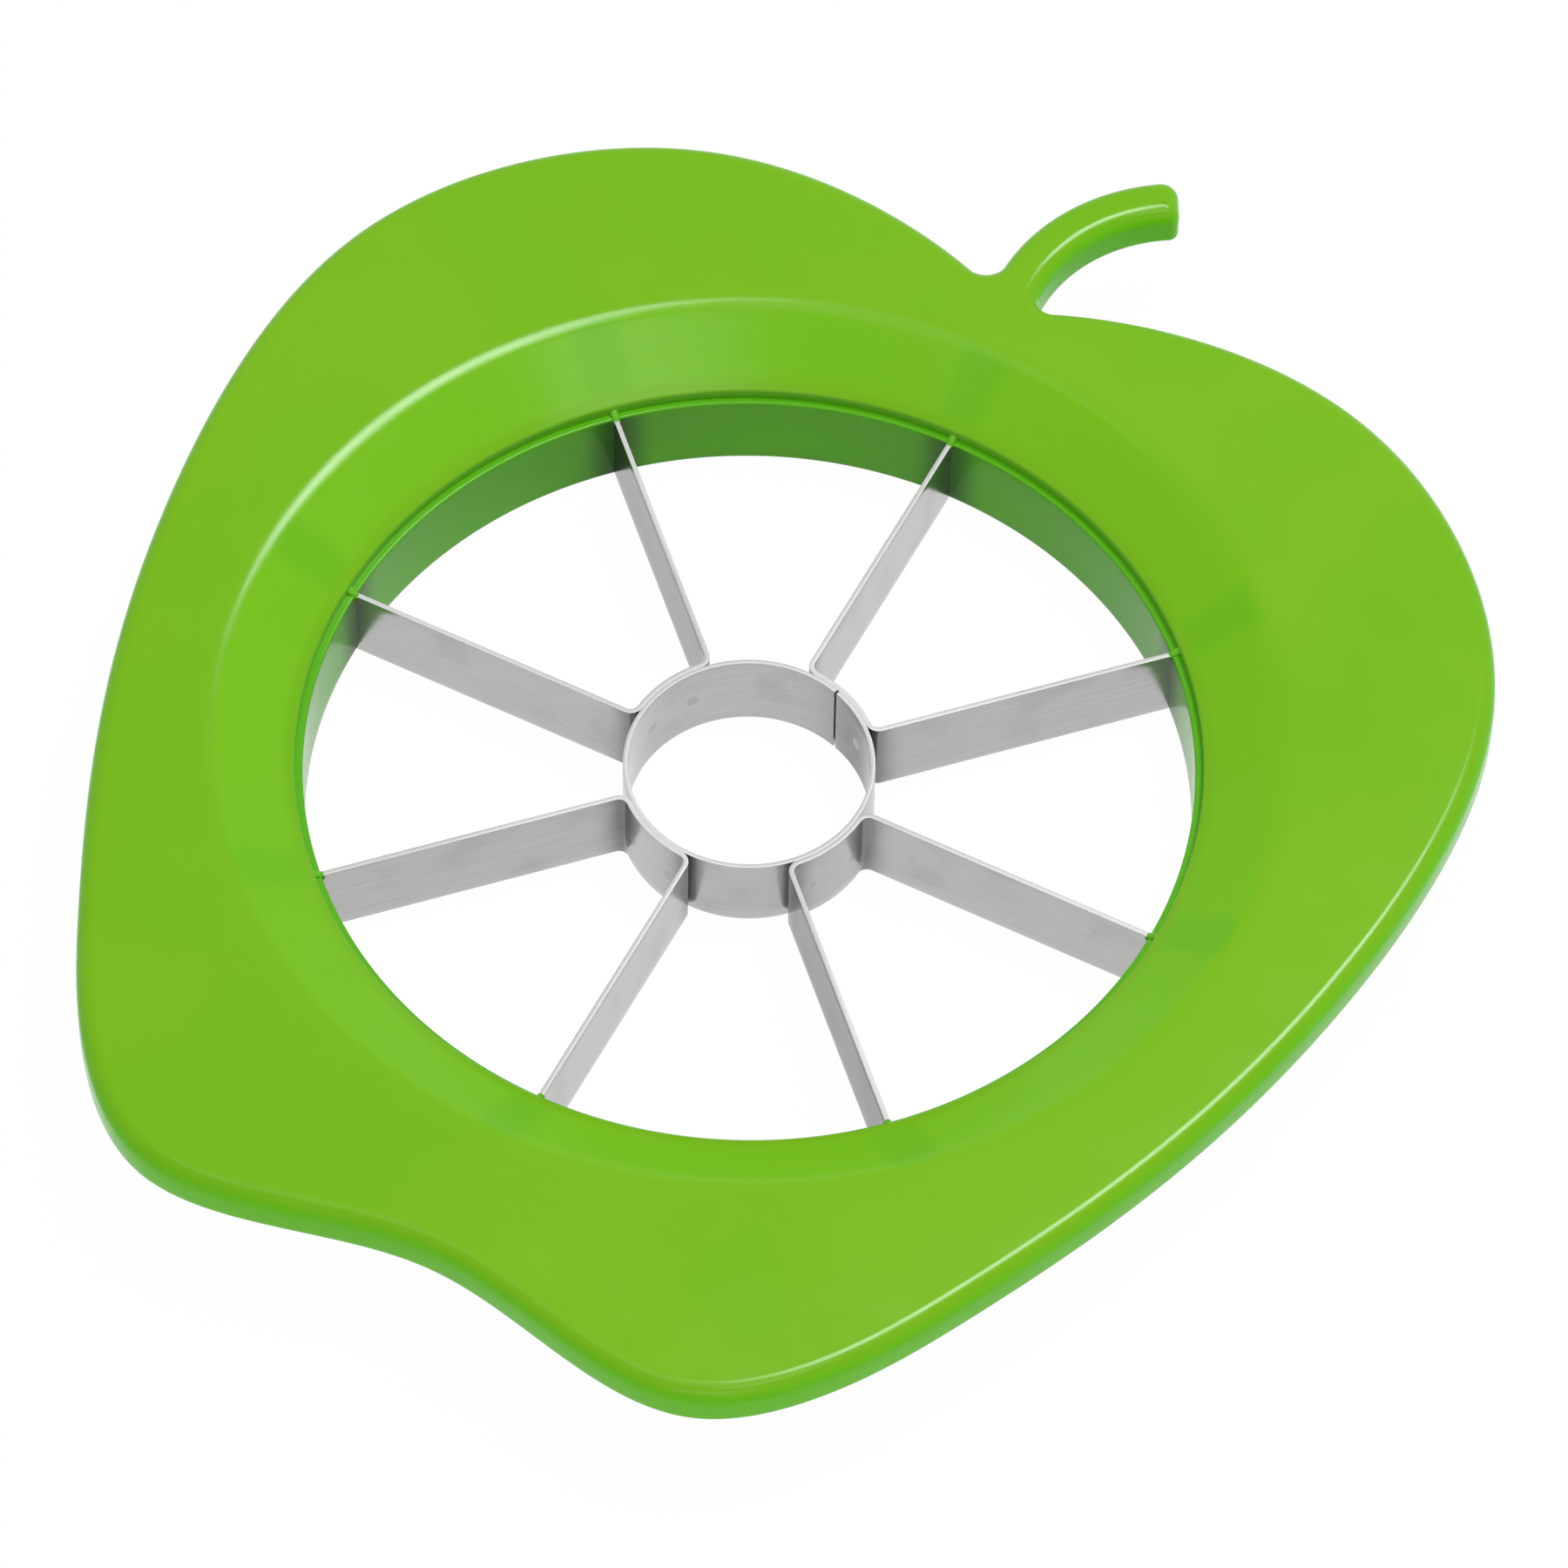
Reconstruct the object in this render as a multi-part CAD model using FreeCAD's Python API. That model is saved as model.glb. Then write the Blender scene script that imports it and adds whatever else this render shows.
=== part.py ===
import FreeCAD, Part
import math
import os

Vector = FreeCAD.Vector

# All sizes are in millimetres and degrees. The origin lies on the ring's axis in the plane that the
# ring stands on, +Z points up through the funnel, and +Y points to the stem.

# Ring that holds the blades, with the ledge and the funnel above it
RING_BORE_RADIUS = 45.0
RING_DEPTH = 9.5            # from the base plane to the ledge; the blades are as deep
RING_WALL = 3.2
RING_FOOT_ROUND = 0.5
LEDGE_WIDTH = 0.8
LEDGE_ROUND = 0.25
RISER_HEIGHT = 1.1          # small upright step between the ledge and the funnel
RISER_ROUND = 0.4
FUNNEL_WIDTH = 8.2          # plan width of the slope from the riser out to the crest
CREST_ROUND = 2.0
FLANGE_RISE = 5.8           # from the ledge to the flat top of the flange

# Apple-shaped flange round the ring, a shell that is open below with a turned-down lip
FLANGE_WALL = 2.4
LIP_WALL = 2.4
LIP_HEIGHT = 4.7
EDGE_ROUND = 1.8
LIP_EDGE_ROUND = 0.5
POCKET_ROUND = 1.2          # inner corner below the flange, at the ring and at the lip

# Width of the flange beyond the crest of the funnel, on both sides of the apple, as
# (degrees away from the stem, width): dip at the stem, shoulder, waist, foot lobe, dip at the base
FLANGE_WIDTHS = (
    (0, 6.0),
    (15, 13.8),
    (30, 20.1),
    (45, 22.4),
    (60, 21.1),
    (75, 16.3),
    (90, 12.3),
    (105, 10.9),
    (120, 12.0),
    (135, 16.1),
    (147, 21.7),
    (157, 24.2),
    (167, 19.5),
    (180, 14.7),
)

# Curved stem, part of the same moulding
STEM_WIDTH = 5.0
STEM_BEND_RADIUS = 18.6
STEM_TURN = 62.0            # how far the tip is turned to the right of +Y
STEM_OFFSET = 1.3           # the stem's centre line lies this far left of the ring's axis
STEM_START = 10.3           # where it points straight along +Y, beyond the crest
STEM_ROOT_DEPTH = 7.0       # how far the root reaches down from there, inside the flange
STEM_TIP_OUTER_ROUND = 1.8  # corner of the tip on the outside of the bend
STEM_TIP_INNER_ROUND = 1.1
STEM_NOTCH_ROUND = 2.2      # left of the stem
STEM_CROOK_ROUND = 1.6      # right of the stem

# Steel insert: a core ring and V-shaped blade strips, each with two legs
PAIR_COUNT = 4
FIRST_PAIR_AZIMUTH = 157.5  # bisector of the first strip, counter-clockwise from +X
STRIP_THICKNESS = 0.5
STRIP_BEND_RADIUS = 0.9     # inner radius where a leg turns onto the core ring
STRIP_EMBED = 2.2           # length of each leg held inside the ring's wall
GROUND_HEIGHT = 0.6         # height of the ground cutting edge
GROUND_THICKNESS = 0.2      # steel left at the cutting edge
ANCHOR_HOLE_RADIUS = 0.5
ANCHOR_HOLE_COUNT = 2       # holes in each held end, filled by the moulding
CORE_BORE_RADIUS = 12.3
CORE_WALL = 0.45
SEAM_AZIMUTH = 72.0         # where the ends of the core ring's strip meet
SEAM_GAP = 0.3
WELD_RADIUS = 0.7
WELD_SPREAD = 12.5          # degrees from a strip's bisector to each of its two welds
BEAD_RADIUS = 0.6           # bead of the moulding over each blade end
BEAD_DROP = 0.35            # how far the bead's centre lies below the ledge
BEAD_LENGTH = 1.8           # up the funnel's slope, into the wall behind the riser

# Limits used while building
ROUNDING_SHARE = 0.45       # the most of a straight edge that the rounding at one end may take up
TOLERANCE = 0.001           # for telling which edges are upright or level

# Sizes that follow from those above
FLANGE_TOP = RING_DEPTH + FLANGE_RISE
LIP_BOTTOM = FLANGE_TOP - LIP_HEIGHT
POCKET_ROOF = FLANGE_TOP - FLANGE_WALL
RISER_RADIUS = RING_BORE_RADIUS + LEDGE_WIDTH
CREST_RADIUS = RISER_RADIUS + FUNNEL_WIDTH
SEAT_RADIUS = CREST_RADIUS + CREST_ROUND      # where the flange plate is joined to the ring
FUNNEL_SLOPE = math.degrees(math.atan2(FLANGE_RISE - RISER_HEIGHT, FUNNEL_WIDTH))
CORE_RADIUS = CORE_BORE_RADIUS + CORE_WALL
LEG_ANGLE = 360.0 / (4 * PAIR_COUNT)          # from a strip's bisector to each of its legs


def polar(radius, azimuth, height=0.0):
    """Point at a radius and an azimuth, counter-clockwise from +X."""
    angle = math.radians(azimuth)
    return Vector(radius * math.cos(angle), radius * math.sin(angle), height)


def prism(wire, bottom, top):
    """Solid between two heights over a flat closed wire that lies at z = 0."""
    face = Part.Face(wire)
    face.translate(Vector(0, 0, bottom))
    return face.extrude(Vector(0, 0, top - bottom))


def arc(start, middle, end):
    """Edge along the circle through three points."""
    return Part.Arc(start, middle, end).toShape()


def line(start, end):
    """Straight edge between two points."""
    return Part.LineSegment(start, end).toShape()


def rounded_profile(corners):
    """Closed wire in the XZ plane through corners (radius, height, rounding)."""
    points = [Vector(x, 0, z) for x, z, rounding in corners]
    count = len(points)
    entries = []
    for index, corner in enumerate(points):
        before = points[index - 1] - corner
        after = points[(index + 1) % count] - corner
        rounding = corners[index][2]
        half_angle = before.getAngle(after) / 2
        longest = ROUNDING_SHARE * min(before.Length, after.Length)
        reach = min(rounding / math.tan(half_angle), longest)
        rounding = reach * math.tan(half_angle)
        start = corner + before.normalize() * reach
        end = corner + after.normalize() * reach
        inward = (before + after).normalize()
        middle = corner + inward * (rounding / math.sin(half_angle) - rounding)
        entries.append((start, middle, end, reach))
    edges = []
    for index, (start, middle, end, reach) in enumerate(entries):
        if reach > 0:
            edges.append(arc(start, middle, end))
        edges.append(line(end, entries[(index + 1) % count][0]))
    return Part.Wire(edges)


def apple_curve():
    """Spline round the apple, from the dip at the stem clockwise back to that dip."""
    right = [polar(CREST_RADIUS + width, 90 - turn) for turn, width in FLANGE_WIDTHS]
    left = [Vector(-point.x, point.y, 0) for point in reversed(right[:-1])]
    points = right + left
    curve = Part.BSplineCurve()
    curve.interpolate(Points=points)
    return curve, points


def places_on(curve, points):
    """Parameters of a spline at the points that it was laid through."""
    inner = [curve.parameter(point) for point in points[1:-1]]
    return [curve.FirstParameter] + inner + [curve.LastParameter]


def span_edges(curve, points):
    """Edges along a spline, one from each of its points to the next."""
    places = places_on(curve, points)
    edges = []
    for start, end in zip(places, places[1:]):
        span = curve.copy()
        span.segment(start, end)
        edges.append(span.toShape())
    return edges


def apple_wire():
    """Outline of the flange without the stem."""
    return Part.Wire(span_edges(*apple_curve()))


def pocket_wire():
    """Outline of the pocket: the apple's, moved inward by the lip's wall and closed at the dip."""
    curve, points = apple_curve()
    inset = []
    for point, place in zip(points, places_on(curve, points)):
        along = curve.tangent(place)[0]
        inset.append(point + Vector(along.y, -along.x, 0).normalize() * LIP_WALL)
    inner = Part.BSplineCurve()
    inner.interpolate(Points=inset)
    return Part.Wire(span_edges(inner, inset) + [line(inset[-1], inset[0])])


def stem_corners():
    """Centre of the stem's bend, and the inner and outer corners of its tip."""
    centre = Vector(STEM_BEND_RADIUS - STEM_OFFSET, CREST_RADIUS + STEM_START, 0)
    tip = 180 - STEM_TURN
    inner = centre + polar(STEM_BEND_RADIUS - STEM_WIDTH / 2, tip)
    outer = centre + polar(STEM_BEND_RADIUS + STEM_WIDTH / 2, tip)
    return centre, inner, outer


def stem_blank():
    """Curved bar of the stem before its edges are rounded, from inside the flange to the tip."""
    centre, tip_inner, tip_outer = stem_corners()
    inner = STEM_BEND_RADIUS - STEM_WIDTH / 2
    outer = STEM_BEND_RADIUS + STEM_WIDTH / 2
    root_turn = math.degrees(math.asin(STEM_ROOT_DEPTH / STEM_BEND_RADIUS))
    root = 180 + root_turn
    middle = 180 + (root_turn - STEM_TURN) / 2
    wire = Part.Wire([
        arc(centre + polar(inner, root), centre + polar(inner, middle), tip_inner),
        line(tip_inner, tip_outer),
        arc(tip_outer, centre + polar(outer, middle), centre + polar(outer, root)),
        line(centre + polar(outer, root), centre + polar(inner, root)),
    ])
    return prism(wire, LIP_BOTTOM, FLANGE_TOP)


def upright_edge(solid, point):
    """The solid's upright edge nearest to a point, seen from above."""
    def off(edge):
        place = edge.CenterOfMass
        return math.hypot(place.x - point.x, place.y - point.y)

    def is_upright(edge):
        return max(edge.BoundBox.XLength, edge.BoundBox.YLength) < TOLERANCE

    return min(filter(is_upright, solid.Edges), key=off)


def level_edges(solid, height):
    """The solid's edges in the horizontal plane at a height."""
    def is_level(edge):
        return max(abs(edge.BoundBox.ZMin - height), abs(edge.BoundBox.ZMax - height)) < TOLERANCE

    return list(filter(is_level, solid.Edges))


def flange_plate():
    """Apple and stem as one plate with rounded edges, pocketed from below."""
    centre, tip_inner, tip_outer = stem_corners()
    left_root = centre - Vector(STEM_BEND_RADIUS + STEM_WIDTH / 2, 0, 0)
    right_root = centre - Vector(STEM_BEND_RADIUS - STEM_WIDTH / 2, 0, 0)
    plate = prism(apple_wire(), LIP_BOTTOM, FLANGE_TOP).fuse(stem_blank())
    plate = plate.removeSplitter().Solids[0]
    plate = plate.makeFillet(STEM_TIP_OUTER_ROUND, [upright_edge(plate, tip_outer)])
    plate = plate.makeFillet(STEM_TIP_INNER_ROUND, [upright_edge(plate, tip_inner)])
    plate = plate.makeFillet(STEM_NOTCH_ROUND, [upright_edge(plate, left_root)])
    plate = plate.makeFillet(STEM_CROOK_ROUND, [upright_edge(plate, right_root)])
    plate = plate.makeFillet(EDGE_ROUND, level_edges(plate, FLANGE_TOP))
    plate = plate.makeFillet(LIP_EDGE_ROUND, level_edges(plate, LIP_BOTTOM))
    pocket = prism(pocket_wire(), LIP_BOTTOM - LIP_HEIGHT, POCKET_ROOF)
    pocket = pocket.makeFillet(POCKET_ROUND, level_edges(pocket, POCKET_ROOF))
    seat = Part.makeCylinder(SEAT_RADIUS, FLANGE_TOP + LIP_HEIGHT)
    return plate.cut(pocket.fuse(seat))


def ring_and_funnel():
    """Ring wall, ledge, riser, funnel and crest, turned about the axis as one profile."""
    slope = math.radians(FUNNEL_SLOPE)
    # The underside runs parallel to the funnel, one flange wall below it
    drop = FLANGE_WALL / math.cos(slope)
    outer = RING_BORE_RADIUS + RING_WALL
    riser_top = RING_DEPTH + RISER_HEIGHT
    under_wall = riser_top - drop + (outer - RISER_RADIUS) * math.tan(slope)
    under_crest = outer + (POCKET_ROOF - under_wall) / math.tan(slope)
    profile = rounded_profile([
        (RING_BORE_RADIUS, 0, RING_FOOT_ROUND),
        (RING_BORE_RADIUS, RING_DEPTH, LEDGE_ROUND),
        (RISER_RADIUS, RING_DEPTH, 0),
        (RISER_RADIUS, riser_top, RISER_ROUND),
        (CREST_RADIUS, FLANGE_TOP, CREST_ROUND),
        (SEAT_RADIUS, FLANGE_TOP, 0),
        (SEAT_RADIUS, POCKET_ROOF, 0),
        (under_crest, POCKET_ROOF, POCKET_ROUND),
        (outer, under_wall, POCKET_ROUND),
        (outer, 0, RING_FOOT_ROUND),
    ])
    return Part.Face(profile).revolve(Vector(0, 0, 0), Vector(0, 0, 1), 360)


def bead(azimuth):
    """Bead of the moulding over the end of one blade, running up the riser as steep as the funnel."""
    start = polar(RING_BORE_RADIUS, azimuth, RING_DEPTH - BEAD_DROP)
    slope = math.radians(FUNNEL_SLOPE)
    along = polar(math.cos(slope), azimuth, math.sin(slope))
    rod = Part.makeCylinder(BEAD_RADIUS, BEAD_LENGTH, start, along)
    return rod.fuse(Part.makeSphere(BEAD_RADIUS, start))


def leg_azimuths():
    """Azimuth of every blade leg."""
    azimuths = []
    for pair in range(PAIR_COUNT):
        bisector = pair_azimuth(pair)
        azimuths += [bisector + LEG_ANGLE, bisector - LEG_ANGLE]
    return azimuths


def pair_azimuth(pair):
    """Azimuth of a blade strip's bisector; the strips follow each other clockwise."""
    return FIRST_PAIR_AZIMUTH - pair * 360.0 / PAIR_COUNT


def apple_frame(strips):
    """Green moulding in one piece, with the steel moulded into the ring's wall."""
    frame = flange_plate().fuse(ring_and_funnel())
    frame = frame.fuse([bead(azimuth) for azimuth in leg_azimuths()]).removeSplitter()
    return frame.cut(strips)


def mirrored(point):
    """The point's mirror image across the X axis."""
    return Vector(point.x, -point.y, point.z)


def strip_wire(thickness, height):
    """Outline of a blade strip seen from above, its bisector along +X.

    Each leg runs in along a radius, turns on a bend whose centre lies between the legs, and follows the
    outside of the core ring to the other leg's bend. Both faces lie half a thickness off that path.
    """
    half = thickness / 2
    hug = CORE_RADIUS + STRIP_THICKNESS / 2
    bend = STRIP_BEND_RADIUS + STRIP_THICKNESS / 2
    length = RING_BORE_RADIUS + STRIP_EMBED
    along = polar(1, LEG_ANGLE)
    across = polar(1, LEG_ANGLE - 90)
    straight_end = math.sqrt((hug + bend) ** 2 - bend ** 2)
    centre = along * straight_end + across * bend
    to_centre = Vector(centre).normalize()
    between = (across + to_centre).normalize()

    def face(offset):
        """End, bend start, bend middle and bend end of one face of the upper leg."""
        radius = bend - offset
        return (
            along * length + across * offset,
            along * straight_end + across * offset,
            centre - between * radius,
            centre - to_centre * radius,
        )

    inner_end, inner_start, inner_middle, inner_hug = face(half)
    outer_end, outer_start, outer_middle, outer_hug = face(-half)
    edges = [
        line(inner_end, inner_start),
        arc(inner_start, inner_middle, inner_hug),
        arc(inner_hug, Vector(hug + half, 0, 0), mirrored(inner_hug)),
        arc(mirrored(inner_hug), mirrored(inner_middle), mirrored(inner_start)),
        line(mirrored(inner_start), mirrored(inner_end)),
        line(mirrored(inner_end), mirrored(outer_end)),
        line(mirrored(outer_end), mirrored(outer_start)),
        arc(mirrored(outer_start), mirrored(outer_middle), mirrored(outer_hug)),
        arc(mirrored(outer_hug), Vector(hug - half, 0, 0), outer_hug),
        arc(outer_hug, outer_middle, outer_start),
        line(outer_start, outer_end),
        line(outer_end, inner_end),
    ]
    wire = Part.Wire(edges)
    wire.translate(Vector(0, 0, height))
    return wire


def blade_strip(pair, nuggets):
    """One V-shaped strip: two legs with a ground lower edge, joined round the core ring."""
    strip = Part.makeLoft([
        strip_wire(GROUND_THICKNESS, 0),
        strip_wire(STRIP_THICKNESS, GROUND_HEIGHT),
        strip_wire(STRIP_THICKNESS, RING_DEPTH),
    ], True, True)
    for side in (1, -1):
        for number in range(ANCHOR_HOLE_COUNT):
            height = RING_DEPTH * (number + 1) / (ANCHOR_HOLE_COUNT + 1)
            azimuth = side * LEG_ANGLE
            across = polar(1, azimuth + 90)
            start = polar(RING_BORE_RADIUS + STRIP_EMBED / 2, azimuth, height) - across * STRIP_THICKNESS
            strip = strip.cut(Part.makeCylinder(ANCHOR_HOLE_RADIUS, 2 * STRIP_THICKNESS, start, across))
    strip.rotate(Vector(0, 0, 0), Vector(0, 0, 1), pair_azimuth(pair))
    return strip.cut(nuggets)


def core_ring(nuggets):
    """Strip bent into the ring that cuts out the core, ground outside its lower edge."""
    ring = Part.Face(Part.makePolygon([
        Vector(CORE_BORE_RADIUS, 0, 0),
        Vector(CORE_BORE_RADIUS + GROUND_THICKNESS, 0, 0),
        Vector(CORE_RADIUS, 0, GROUND_HEIGHT),
        Vector(CORE_RADIUS, 0, RING_DEPTH),
        Vector(CORE_BORE_RADIUS, 0, RING_DEPTH),
        Vector(CORE_BORE_RADIUS, 0, 0),
    ])).revolve(Vector(0, 0, 0), Vector(0, 0, 1), 360)
    corner = Vector(CORE_BORE_RADIUS - CORE_WALL / 2, -SEAM_GAP / 2, 0)
    seam = Part.makeBox(2 * CORE_WALL, SEAM_GAP, RING_DEPTH, corner)
    seam.rotate(Vector(0, 0, 0), Vector(0, 0, 1), SEAM_AZIMUTH)
    return ring.cut(seam).cut(nuggets)


def weld_nuggets():
    """Two round spot welds in each blade strip, through the strip and the core ring."""
    outside = Part.makeCylinder(CORE_RADIUS + STRIP_THICKNESS, RING_DEPTH)
    sleeve = outside.cut(Part.makeCylinder(CORE_BORE_RADIUS, RING_DEPTH))
    nuggets = []
    for pair in range(PAIR_COUNT):
        for side in (1, -1):
            azimuth = pair_azimuth(pair) + side * WELD_SPREAD
            middle = Vector(0, 0, RING_DEPTH / 2)
            pin = Part.makeCylinder(WELD_RADIUS, 2 * CORE_RADIUS, middle, polar(1, azimuth))
            nuggets.append(pin.common(sleeve).Solids[0])
    return nuggets


def export(name, solids):
    """Write one node's solids and print what they measure."""
    shape = solids[0] if len(solids) == 1 else Part.makeCompound(solids)
    shape.exportStep("parts/" + name + ".step")
    box = shape.BoundBox
    print(name, len(solids), shape.isValid(), round(shape.Volume, 2),
          [round(v, 2) for v in (box.XMin, box.XMax, box.YMin, box.YMax, box.ZMin, box.ZMax)])


def main():
    """Build every node and write its file."""
    os.makedirs("parts", exist_ok=True)
    nuggets = weld_nuggets()
    strips = [blade_strip(pair, nuggets) for pair in range(PAIR_COUNT)]
    export("apple_frame", apple_frame(strips).Solids)
    export("core_ring", core_ring(nuggets).Solids)
    for number, strip in enumerate(strips, 1):
        export("blade_strip_" + str(number), strip.Solids)
    export("weld_nuggets", nuggets)


main()
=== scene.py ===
import math

import bmesh
import bpy
import numpy as np
from mathutils import Matrix, Vector
from mathutils.geometry import tessellate_polygon


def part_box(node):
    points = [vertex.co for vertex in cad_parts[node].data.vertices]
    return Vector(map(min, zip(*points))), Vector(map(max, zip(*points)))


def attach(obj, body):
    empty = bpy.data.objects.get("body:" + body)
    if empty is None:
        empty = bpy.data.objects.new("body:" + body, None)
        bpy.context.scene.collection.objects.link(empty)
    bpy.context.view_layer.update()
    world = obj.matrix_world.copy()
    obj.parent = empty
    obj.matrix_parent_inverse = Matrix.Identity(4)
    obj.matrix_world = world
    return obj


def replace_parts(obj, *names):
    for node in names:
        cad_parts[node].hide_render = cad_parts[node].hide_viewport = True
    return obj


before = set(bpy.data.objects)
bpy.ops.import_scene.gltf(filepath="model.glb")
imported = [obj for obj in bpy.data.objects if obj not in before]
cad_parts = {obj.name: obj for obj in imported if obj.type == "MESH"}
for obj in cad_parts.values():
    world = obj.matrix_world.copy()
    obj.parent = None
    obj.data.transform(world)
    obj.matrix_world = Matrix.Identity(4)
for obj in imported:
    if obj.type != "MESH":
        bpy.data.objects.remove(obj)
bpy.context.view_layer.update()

# Sizes are in millimetres and angles in degrees unless a name says otherwise; meshes are made in
# millimetres and scaled to metres when they are stored. The frame's origin is on the ring's axis in
# the plane that the ring stands on, +Z points up through the funnel and +Y to the stem.
MM = 0.001

# Sizes read from the frame
FLANGE_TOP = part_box("apple_frame")[1].z / MM
RING_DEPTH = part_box("core_ring")[1].z / MM
CORE_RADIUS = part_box("core_ring")[1].x / MM

# Ring, ledge and funnel
RING_BORE_RADIUS = 45.0
RING_WALL = 3.2
RING_FOOT_ROUND = 0.5
LEDGE_WIDTH = 0.8
LEDGE_ROUND = 0.25
RISER_HEIGHT = 1.1
RISER_ROUND = 0.4
FUNNEL_WIDTH = 8.2
CREST_ROUND = 4.5
RISER_RADIUS = RING_BORE_RADIUS + LEDGE_WIDTH
CREST_RADIUS = RISER_RADIUS + FUNNEL_WIDTH
RISER_TOP = RING_DEPTH + RISER_HEIGHT
FUNNEL_SLOPE = math.atan2(FLANGE_TOP - RISER_TOP, FUNNEL_WIDTH)

# Flange
FLANGE_WALL = 2.4
LIP_WALL = 2.4
LIP_HEIGHT = 4.7
EDGE_ROUND = 1.8
LIP_EDGE_ROUND = 0.5
POCKET_ROUND = 1.2
LIP_BOTTOM = FLANGE_TOP - LIP_HEIGHT
POCKET_ROOF = FLANGE_TOP - FLANGE_WALL
# Width beyond the crest on both sides, as (degrees away from the stem, width)
FLANGE_WIDTHS = (
    (0, 6.0),
    (15, 13.8),
    (30, 20.1),
    (45, 22.4),
    (60, 21.1),
    (75, 16.3),
    (90, 12.3),
    (105, 10.9),
    (120, 12.0),
    (135, 16.1),
    (147, 21.7),
    (157, 24.2),
    (167, 19.5),
    (180, 14.7),
)

# Fineness of the moulding's grids
OUTLINE_POINTS = 900
POCKET_POINTS = 500
TURNED_COLUMNS = 480
EDGE_ROWS = 15
SMALL_EDGE_ROWS = 6
LONGEST_STEP = 1.2
LEAST_STEP = 0.01           # an outline point nearer than this to the one before it is left out

# Stem
STEM_WIDTH = 5.0
STEM_BEND_RADIUS = 18.6
STEM_TURN = 62.0
STEM_OFFSET = 1.3
STEM_START = 10.3
STEM_TIP_OUTER_ROUND = 1.8
STEM_TIP_INNER_ROUND = 1.1
STEM_NOTCH_ROUND = 2.2
STEM_CROOK_ROUND = 1.6
STEM_CENTRE = np.array([STEM_BEND_RADIUS - STEM_OFFSET, CREST_RADIUS + STEM_START])
STEM_INNER = STEM_BEND_RADIUS - STEM_WIDTH / 2
STEM_OUTER = STEM_BEND_RADIUS + STEM_WIDTH / 2
STEM_TIP = 180.0 - STEM_TURN
# Points of the outline on each stretch of the stem
STEM_POINTS = {"notch": 18, "outside": 80, "corner": 12, "tip": 5, "inside": 70, "crook": 14}
# Azimuths about the bend's centre between which the notch and the crook lie
FILLET_AZIMUTHS = np.linspace(150.0, 200.0, 2001)
# How far from the stem's middle line and from its tip an outline point counts as near the tip
TIP_SLACK = 0.1
TIP_REACH = 20.0

# Steel insert
PAIR_COUNT = 4
FIRST_PAIR_AZIMUTH = 157.5
LEG_ANGLE = 360.0 / (4 * PAIR_COUNT)
STRIP_THICKNESS = 0.5
STRIP_BEND_RADIUS = 0.9
STRIP_EMBED = 2.2
GROUND_HEIGHT = 0.6
GROUND_THICKNESS = 0.2
STRIP_EDGE_ROUND = 0.01
CORE_WALL = 0.45
SEAM_AZIMUTH = 72.0
SEAM_GAP = 0.3
# painted shade in the corners at the bends
CORNER_SHADE = 0.6           # how much darker the steel is in the corners at the bends
CORNER_REACH = 1.7
LEG_ROWS = 40
BEND_ROWS = 12
HUG_ROWS = 14
BEND_ROW = LEG_ROWS + 4     # row of the strip's path near the middle of its bend
SIDE_ROWS = 9
CORE_SIDE_ROWS = 7
CORE_ROWS = 241
EDGE_TURN_ROWS = 4
# Shifts that give the grain of each strip, of the core ring and of a strip's far face its own place
STRIP_SHIFT = 40.0
CORE_SHIFT = 300.0
FACE_SHIFT = 20.0
# How much painted shade darkens each strip's two blades, and the core ring on its right-hand side
BLADE_SHADE = ((0.0, 0.75), (0.0, 0.0), (0.0, 0.9), (0.0, 0.0))
RING_SHADE = 0.75
RING_DARK_AZIMUTH = 48.0
RING_DARK_SPREAD = 26.0
WELD_RADIUS = 0.7
WELD_SPREAD = 12.5
# A weld mark from its rim inwards, as (share of its radius, height over the face)
WELD_PROFILE = (
    (1.0, -0.01),
    (0.96, 0.003),
    (0.88, 0.006),
    (0.78, 0.005),
    (0.65, 0.003),
    (0.5, 0.002),
    (0.3, 0.002),
    (0.12, 0.002),
)
# Rods of the moulding over the blade ends
BEAD_RADIUS = 0.45
BEAD_DROP = 0.35
BEAD_LENGTH = 1.8
BEAD_FLARE = 0.15

# Green: colours as red, green and blue from 0 to 255
GREENS = {
    # lit and shaded copies of one green: the ring wall darker as painted shade, the ledge and riser paler as
    # painted light
    "wall": (92, 181, 20),
    "ledge": (112, 192, 42),
    # painted shade on the ring wall next to each blade
    "shade_beside_blade": (34, 84, 18),
    "flat": (117, 187, 15),
    "cloud": (125, 189, 21),
    # painted light: the funnel is a lighter green than the flat top
    "funnel": (121, 196, 17),
    # painted shade: a faint darker patch on the funnel outward of each blade end
    "blade_end_shade": (72, 168, 26),
    # painted shading: the sides of the lip and stem are a deeper, purer green than the flat top
    "side": (110, 210, 8),
}
# The radius, height or distance from a blade at which each part's colour starts to show and is full
FADES = {
    "funnel_foot": (46.2, 47.5),
    "funnel_crest": (54.5, 53.0),
    "blade_end_shade": (3.0, 1.0),
    "wall_top": (9.5, 9.2),
    "wall_face": (47.0, 46.5),
    "shade_beside_blade": (4.2, 0.4),
    "side_top": (15.2, 13.8),
    "side_face": (55.5, 57.0),
    "ledge": (9.48, 9.8),
    "flange": (10.4, 10.8),
    "lit_steel_edge": (9.44, 9.48),
}
# how strong the painted shade outward of each blade end is
BLADE_END_SHADE_STRENGTH = 0.2
# how strong the painted shade on the ring wall next to each blade is
SHADE_BESIDE_STRENGTH = 0.8

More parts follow.
